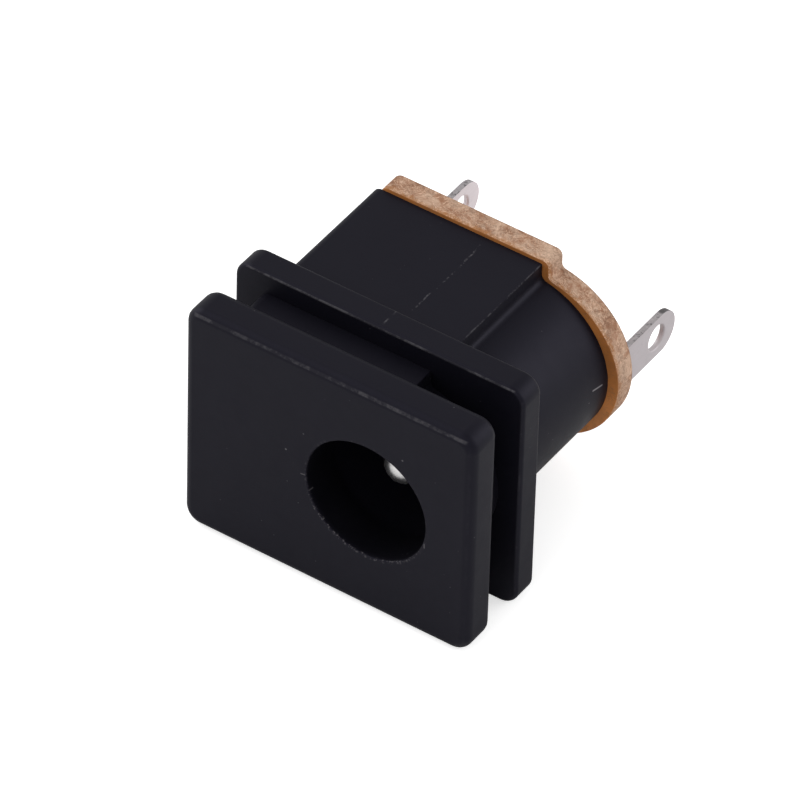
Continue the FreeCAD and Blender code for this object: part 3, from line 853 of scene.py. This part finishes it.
def make_foot(name, wall, middle, radius, fillet, front, back, side):
    """The concave filler between an upright wall and a round, above or below."""
    sideways = wall + fillet - middle
    centre_z = math.sqrt((radius + fillet) ** 2 - sideways ** 2)
    share = radius / (radius + fillet)
    bottom, top = sorted((side * (share * centre_z - fillet), side * centre_z))
    foot = add_box(name, (wall - fillet, front, bottom), (middle + share * sideways, back, top))
    centre = (wall + fillet, side * centre_z)
    cut(foot, add_rod("foot_round", fillet, front - PAST, back + PAST, centre, sides=HOLE_SIDES))
    return foot


def hollow_housing(piece, sizes, block_top, end):
    """Cut the socket, its wider cavity, the contact chamber and the window between them."""
    hole = mount_size("plug_socket", "r_mm")
    lip = mount_size("plug_socket", "length_mm")
    front = sizes.chamber_front
    chamber_left = sizes.chamber_wall - sizes.block_left
    chamber_right = -(sizes.cavity_radius + sizes.bore_wall)
    chamber_top = block_top - sizes.chamber_roof
    window_top = sizes.window_height / 2
    window_low = (chamber_right - PAST / 2, front, -window_top)
    cut(piece, add_rod("cavity", sizes.cavity_radius, lip, end))
    cut(piece, add_rod("socket", hole, -PAST, lip + PAST))
    cut(piece, add_box("chamber", (chamber_left, front, -chamber_top), (chamber_right, end, chamber_top)))
    cut(piece, add_box("window", window_low, (-sizes.cavity_radius / 2, end, window_top)))

    def is_rim(ends):
        return edge_lies(ends, Y, 0.0) and edge_rounds(ends, Y, Vector(), hole)

    bevel_edges(piece, sizes.crisp_edge, 3, is_rim)


def add_pegs(piece, sizes, start):
    """The two pegs through the back plate, with their melted heads."""
    plate_back = LAMINATE_HIGH.y
    head_end = HOUSING_HIGH.y
    for up in (sizes.peg_up, -sizes.peg_up):
        centre = (-sizes.peg_across, up)
        peg = add_rod("peg", sizes.peg_radius, start, plate_back + OVERLAP / 2, centre, sides=HOLE_SIDES)
        head = add_rod("peg_head", sizes.peg_head_radius, plate_back, head_end, centre, sides=HOLE_SIDES)
        bevel_edges(head, PEG_HEAD_ROUNDING * (head_end - plate_back), 5, edges_at(Y, head_end))
        join(peg, head)
        join(piece, peg)


def make_housing(sizes):
    """The moulding: two plates, block, barrel, socket, contact chamber and pegs."""
    radius = sizes.barrel_radius
    block_top = radius + sizes.step_height
    plate_back = sizes.plate_thickness
    flange_front = plate_back + sizes.slot_width
    flange_back = flange_front + sizes.flange_thickness
    root_end = flange_back + sizes.root_fillet
    piece = make_block(sizes, root_end, BODY_BACK, block_top)
    barrel = add_rod("barrel", radius, root_end, BODY_BACK)
    flare_towards_flange(barrel, sizes, radius, radius)
    join(piece, barrel)
    step = (sizes.block_right, 0.0, radius, sizes.step_fillet)
    for side in (1, -1):
        join(piece, make_foot("step_foot", *step, plate_back / 2, BODY_BACK, side))
    join(piece, make_plate("front_plate", 0.0, plate_back, sizes, sizes.plate_edge))
    join(piece, make_plate("flange", flange_front, flange_back, sizes, sizes.flange_edge))
    hollow_housing(piece, sizes, block_top, BODY_BACK + PAST)
    add_pegs(piece, sizes, BODY_BACK - OVERLAP)
    clean_mesh(piece)
    finish(piece, "housing", "black_moulding", "satin_moulding")


def add_strip(name, mount, start, end, sizes, play=0.0):
    """A straight piece of a lug's sheet about its wire hole, with play on all sides."""
    place = mount_place(mount)
    across = sizes.sheet / 2 + play
    up = sizes.lug_width / 2 + play
    return add_box(name, (place.x - across, start, place.z - up), (place.x + across, end, place.z + up))


def make_back_plate(sizes):
    """The punched laminate, with its holes and slots."""
    low, high = LAMINATE_LOW, LAMINATE_HIGH
    wall = sizes.laminate_shoulder
    piece = add_box("laminate_plate", low, (wall, high.y, high.z))
    bevel_edges(piece, sizes.laminate_left_corner, 12, edges_along(Y, (X, low.x)))
    bevel_edges(piece, sizes.laminate_right_corner, 6, edges_along(Y, (X, wall)))
    radius = high.x - sizes.round_across
    join(piece, add_rod("laminate_round", radius, low.y, high.y, (sizes.round_across, 0.0)))
    shoulder = (wall, sizes.round_across, radius, sizes.laminate_foot)
    for side in (1, -1):
        join(piece, make_foot("shoulder_foot", *shoulder, low.y, high.y, side))
    clean_mesh(piece, flatten=True)
    bevel_edges(piece, sizes.laminate_edge, 2, edges_at(Y, low.y, high.y))

    through = (low.y - PAST, high.y + PAST)
    shank = sizes.shank_radius + sizes.play / 2
    peg = sizes.peg_radius + sizes.play / 2
    cut(piece, add_rod("shank_hole", shank, *through, sides=HOLE_SIDES))
    for up in (sizes.peg_up, -sizes.peg_up):
        cut(piece, add_rod("peg_hole", peg, *through, (-sizes.peg_across, up), sides=HOLE_SIDES))
    for mount in ("spring_lug_hole", "switch_lug_hole"):
        cut(piece, add_strip("lug_slot", mount, *through, sizes, sizes.play))
    clean_mesh(piece)
    finish(piece, "back_plate", "brown_laminate", "punched_laminate", "glossy_laminate")
    paint_faces(piece, lambda centre, normal: abs(normal.y) > 0.9)


def make_centre_pin(sizes):
    """The turned pin: round tip, shaft, collar, shank and rivet head."""
    radius = mount_size("contact_pin", "r_mm")
    tip_centre = PIN_LOW.y + radius
    eyelet_back = LAMINATE_HIGH.y + sizes.sheet
    collar_front = BODY_BACK - sizes.collar_length
    deselect_all()
    bpy.ops.mesh.primitive_uv_sphere_add(
        segments=HOLE_SIDES, ring_count=HOLE_SIDES // 2, radius=radius,
        location=(0.0, tip_centre, 0.0), rotation=(math.pi / 2, 0.0, 0.0),
    )
    piece = settle("pin_turned")
    pick_faces(piece, lambda centre, normal: centre.y > tip_centre)
    bpy.ops.mesh.delete(type="FACE")
    close_mesh()
    pick_edges(piece, edges_at(Y, tip_centre), any_edge=True)
    stretches = [
        (tip_centre, radius),
        (collar_front, radius),
        (collar_front, sizes.collar_radius - COLLAR_CHAMFER),
        (collar_front + COLLAR_CHAMFER, sizes.collar_radius),
        (BODY_BACK, sizes.collar_radius),
        (BODY_BACK, sizes.shank_radius),
        (eyelet_back, sizes.shank_radius),
        (eyelet_back, sizes.rivet_radius),
    ]
    for inwards, short in quarter_round(sizes.rivet_edge, 6):
        stretches.append((PIN_HIGH.y - short, sizes.rivet_radius - inwards))
    pull_through([(depth, ring, ring) for depth, ring in stretches])
    bpy.ops.mesh.edge_face_add()
    bpy.ops.mesh.select_all(action="SELECT")
    bpy.ops.mesh.normals_make_consistent(inside=False)
    close_mesh()
    finish(piece, "centre_pin", "bright_pin", "plated_pin")


def make_lug(name, mount, start, sizes):
    """A flat lug with a round end and its wire hole."""
    place = mount_place(mount)
    hole = mount_size(mount, "r_mm")
    tip = TERMINAL_HIGH.y
    lug = add_strip(name, mount, start, tip, sizes)
    bevel_edges(lug, ROUND_END * sizes.lug_width / 2, 20, edges_along(X, (Y, tip)))
    cut(lug, add_rod("wire_hole", hole, place.x - PAST, place.x + PAST, place.yz, X, HOLE_SIDES))
    bevel_edges(lug, sizes.hole_rollover, 3, lambda ends: edge_rounds(ends, X, place, hole))
    return lug


def finish_strip(piece, node, mount, sizes, is_cut):
    """Clean a terminal, roll its edges and tell its faces from its sheared edges."""
    place = mount_place(mount)
    hole_reach = mount_size(mount, "r_mm") + RIM_REACH * sizes.hole_rollover

    def is_bare_cut(centre, normal):
        """True on a sheared edge, but not in the plated wire hole."""
        return is_cut(centre, normal) and away_from(X, centre - place) > hole_reach

    clean_mesh(piece)
    round_sharp_edges(piece, sizes.sheet_edge)
    finish(piece, node, "tinned_lug", "tin_plate", "sheared_edge")
    paint_faces(piece, is_bare_cut)


def make_pin_terminal(sizes):
    """The strip under the rivet head, bent back into the right-hand lug."""
    mount = "pin_lug_hole"
    front = LAMINATE_HIGH.y
    back = front + sizes.sheet
    right = TERMINAL_HIGH.x
    inner = right - sizes.sheet
    middle = mount_place(mount).z
    half_width = sizes.lug_width / 2
    shank = sizes.shank_radius + sizes.play / 2
    piece = add_box("pin_strip", (0.0, front, middle - half_width), (right, back, middle + half_width))
    join(piece, add_rod("eyelet", -TERMINAL_LOW.x, front, back))
    join(piece, make_lug("pin_lug", mount, front, sizes))
    bevel_edges(piece, sizes.bend_radius, 6, edges_along(Z, (X, inner), (Y, back)))
    bevel_edges(piece, sizes.bend_radius + sizes.sheet, 8, edges_along(Z, (X, right), (Y, front)))
    cut(piece, add_rod("eyelet_hole", shank, front - PAST, back + PAST, sides=HOLE_SIDES))

    def is_cut(centre, normal):
        """True on the sheared edges of the strip, its bend and its lug."""
        if centre.y < back + sizes.bend_radius:
            return abs(normal.z) > 0.75 or (abs(normal.y) < 0.3 and centre.x < inner - sizes.bend_radius)
        return abs(normal.x) < 0.5

    finish_strip(piece, "pin_terminal", mount, sizes, is_cut)


def sheet_of_contact(mount, sizes):
    """Between which planes a contact's sheet lies, and where its base starts."""
    face = mount_place(mount).x + sizes.sheet / 2
    return face - sizes.sheet, face, BODY_BACK - sizes.base_length


def finish_contact(piece, node, lug_name, mount, sizes):
    """Add the lug of a contact that stands upright in the body, and finish the sheet."""

    def is_cut(centre, normal):
        """True on the sheared edges of an upright leaf and its lug."""
        return abs(normal.z) > 0.6 or centre.y > BODY_BACK and abs(normal.x) < 0.5

    join(piece, make_lug(lug_name, mount, BODY_BACK - OVERLAP, sizes))
    finish_strip(piece, node, mount, sizes, is_cut)


def make_sleeve_spring(sizes):
    """The bowed leaf beside the socket, its base and its lug."""
    mount = "spring_lug_hole"
    back, face, base_front = sheet_of_contact(mount, sizes)
    arm_half = SPRING_HIGH.z
    lug_low = mount_place(mount).z - sizes.lug_width / 2
    root = base_front - sizes.spring_root
    tail = SPRING_LOW.x + sizes.sheet
    piece = add_box("spring_leaf", (back, root, -arm_half), (face, base_front + OVERLAP, arm_half))
    pick_faces(piece, faces_front)
    last = (face, root)
    for stop in (
        (SPRING_HIGH.x, sizes.chamber_front + sizes.spring_bow),
        (tail, SPRING_LOW.y + sizes.spring_tail),
        (tail, SPRING_LOW.y),
    ):
        step = (stop[0] - last[0], stop[1] - last[1], 0.0)
        bpy.ops.mesh.extrude_region_move(TRANSFORM_OT_translate={"value": step})
        last = stop
    close_mesh()
    join(piece, add_box("spring_base", (back, base_front, lug_low), (face, BODY_BACK, arm_half)))
    finish_contact(piece, "sleeve_spring", "spring_lug", mount, sizes)


def make_switch_contact(sizes):
    """The fixed leaf along the chamber wall, its hook and its lug."""
    mount = "switch_lug_hole"
    back, face, base_front = sheet_of_contact(mount, sizes)
    low = mount_place(mount).z - sizes.switch_height / 2
    high = low + sizes.switch_height
    front = SWITCH_LOW.y
    right = SWITCH_HIGH.x
    hook_back = front + sizes.sheet + sizes.hook_length
    hook_low = (right - sizes.sheet, front + sizes.sheet / 2, low)
    base_low = (back, base_front, SWITCH_LOW.z)
    piece = add_box("switch_leaf", (back, front, low), (face, base_front + OVERLAP, high))
    join(piece, add_box("switch_cross", (face - OVERLAP / 2, front, low), (right, front + sizes.sheet, high)))
    join(piece, add_box("switch_hook", hook_low, (right, hook_back, high)))
    join(piece, add_box("switch_base", base_low, (face, BODY_BACK, SWITCH_HIGH.z)))
    finish_contact(piece, "switch_contact", "switch_lug", mount, sizes)


def make_camera():
    """The camera at the photograph's place, with its long lens."""
    deselect_all()
    bpy.ops.object.camera_add()
    camera = bpy.context.object
    camera.name = "camera"
    camera.data.lens = CAMERA_LENS
    camera.data.clip_start = 10 * MM
    camera.data.clip_end = 20.0
    azimuth = Matrix.Rotation(CAMERA_AZIMUTH, 4, "Z")
    tilt = Matrix.Rotation(math.pi / 2 - CAMERA_ELEVATION, 4, "X")
    roll = Matrix.Rotation(CAMERA_ROLL, 4, "Z")
    camera.matrix_world = azimuth @ tilt @ roll @ Matrix.Translation(CAMERA_PLACE)
    bpy.context.scene.camera = camera


def add_lamp(name, place, size, power):
    """A square soft lamp that faces the object."""
    deselect_all()
    bpy.ops.object.light_add(type="AREA", location=place)
    lamp = bpy.context.object
    lamp.name = name
    lamp.data.shape = "SQUARE"
    lamp.data.size = size
    lamp.data.energy = power
    lamp.rotation_euler = (LAMP_TARGET - Vector(place)).to_track_quat("-Z", "Y").to_euler()


def make_floor(finish):
    """A pale floor that shows white and keeps the object's shadow."""
    deselect_all()
    bpy.ops.mesh.primitive_plane_add(size=4.0, location=(0.0, 0.0, CAD_BOX[0].z))
    floor = settle("floor")
    shader, place = new_material("pale_floor")
    seen = add_signal(place.tree, "LightPath", {}, "Is Camera Ray")
    feed(shader, {
        "Base Color": (*finish.floor, 1.0), "Roughness": 0.9, "Specular IOR Level": 0.1,
        "Emission Color": WHITE, "Emission Strength": seen * FLOOR_GLOW,
    })
    floor.data.materials.append(bpy.data.materials["pale_floor"])


def make_world():
    """An even pale surround that the camera sees as white."""
    world = bpy.data.worlds.new("surround")
    bpy.context.scene.world = world
    world.use_nodes = True
    tree = world.node_tree
    tree.nodes.clear()
    strength = add_signal(tree, "LightPath", {}, "Is Camera Ray").math("MAXIMUM", SURROUND_LIGHT)
    surround = add_signal(tree, "Background", {"Color": WHITE, "Strength": strength})
    add_node(tree, "OutputWorld", {"Surface": surround})


def run(context, *makers):
    """Run an operator's steps with the scene's sizes."""
    prepare_finishes(context.scene)
    for make in makers:
        make(context.scene.jack_sizes)
    return {"FINISHED"}


class JACK_OT_housing(bpy.types.Operator):
    """Model the black moulding"""

    bl_idname = "jack.housing"
    bl_label = "Housing"

    def execute(self, context):
        return run(context, make_housing)


class JACK_OT_back_plate(bpy.types.Operator):
    """Model the laminate back plate"""

    bl_idname = "jack.back_plate"
    bl_label = "Back plate"

    def execute(self, context):
        return run(context, make_back_plate)


class JACK_OT_centre_pin(bpy.types.Operator):
    """Model the riveted centre pin"""

    bl_idname = "jack.centre_pin"
    bl_label = "Centre pin"

    def execute(self, context):
        return run(context, make_centre_pin)


class JACK_OT_terminals(bpy.types.Operator):
    """Model the three terminals with their solder lugs"""

    bl_idname = "jack.terminals"
    bl_label = "Terminals"

    def execute(self, context):
        return run(context, make_pin_terminal, make_sleeve_spring, make_switch_contact)


class JACK_OT_stage(bpy.types.Operator):
    """Set up the camera, the lamps, the surround and the floor"""

    bl_idname = "jack.stage"
    bl_label = "Stage"

    def execute(self, context):
        make_camera()
        make_floor(context.scene.jack_finish)
        make_world()
        add_lamp("left_box", (-0.50, -0.05, 0.32), 0.45, 1.7)
        add_lamp("front_box", (0.12, -0.50, 0.34), 0.45, 0.63)
        add_lamp("right_back_box", (0.45, 0.42, 0.28), 0.50, 1.7)
        context.scene.view_settings.view_transform = "Standard"
        return {"FINISHED"}


class JACK_PT_panel(bpy.types.Panel):
    """Lists the pieces, their sizes and their finishes"""

    bl_label = "Barrel Jack"
    bl_idname = "JACK_PT_panel"
    bl_space_type = "VIEW_3D"
    bl_region_type = "UI"
    bl_category = "Barrel Jack"

    def draw(self, context):
        for operator in OPERATORS:
            self.layout.operator(operator.bl_idname)
        for group in (context.scene.jack_sizes, context.scene.jack_finish):
            box = self.layout.box()
            for name in group.bl_rna.properties.keys():
                if name not in ("rna_type", "name"):
                    box.prop(group, name)


OPERATORS = (JACK_OT_housing, JACK_OT_back_plate, JACK_OT_centre_pin, JACK_OT_terminals, JACK_OT_stage)
CLASSES = (JackSizes, JackFinish, *OPERATORS, JACK_PT_panel)


def register():
    """Add the classes and their settings."""
    for entry in CLASSES:
        bpy.utils.register_class(entry)
    bpy.types.Scene.jack_sizes = bpy.props.PointerProperty(type=JackSizes)
    bpy.types.Scene.jack_finish = bpy.props.PointerProperty(type=JackFinish)


def unregister():
    """Take the classes and their settings away."""
    del bpy.types.Scene.jack_finish
    del bpy.types.Scene.jack_sizes
    for entry in reversed(CLASSES):
        bpy.utils.unregister_class(entry)


def main():
    """Make every piece in order."""
    register()
    bpy.ops.jack.housing()
    bpy.ops.jack.back_plate()
    bpy.ops.jack.centre_pin()
    bpy.ops.jack.terminals()
    bpy.ops.jack.stage()


if __name__ == "__main__":
    main()
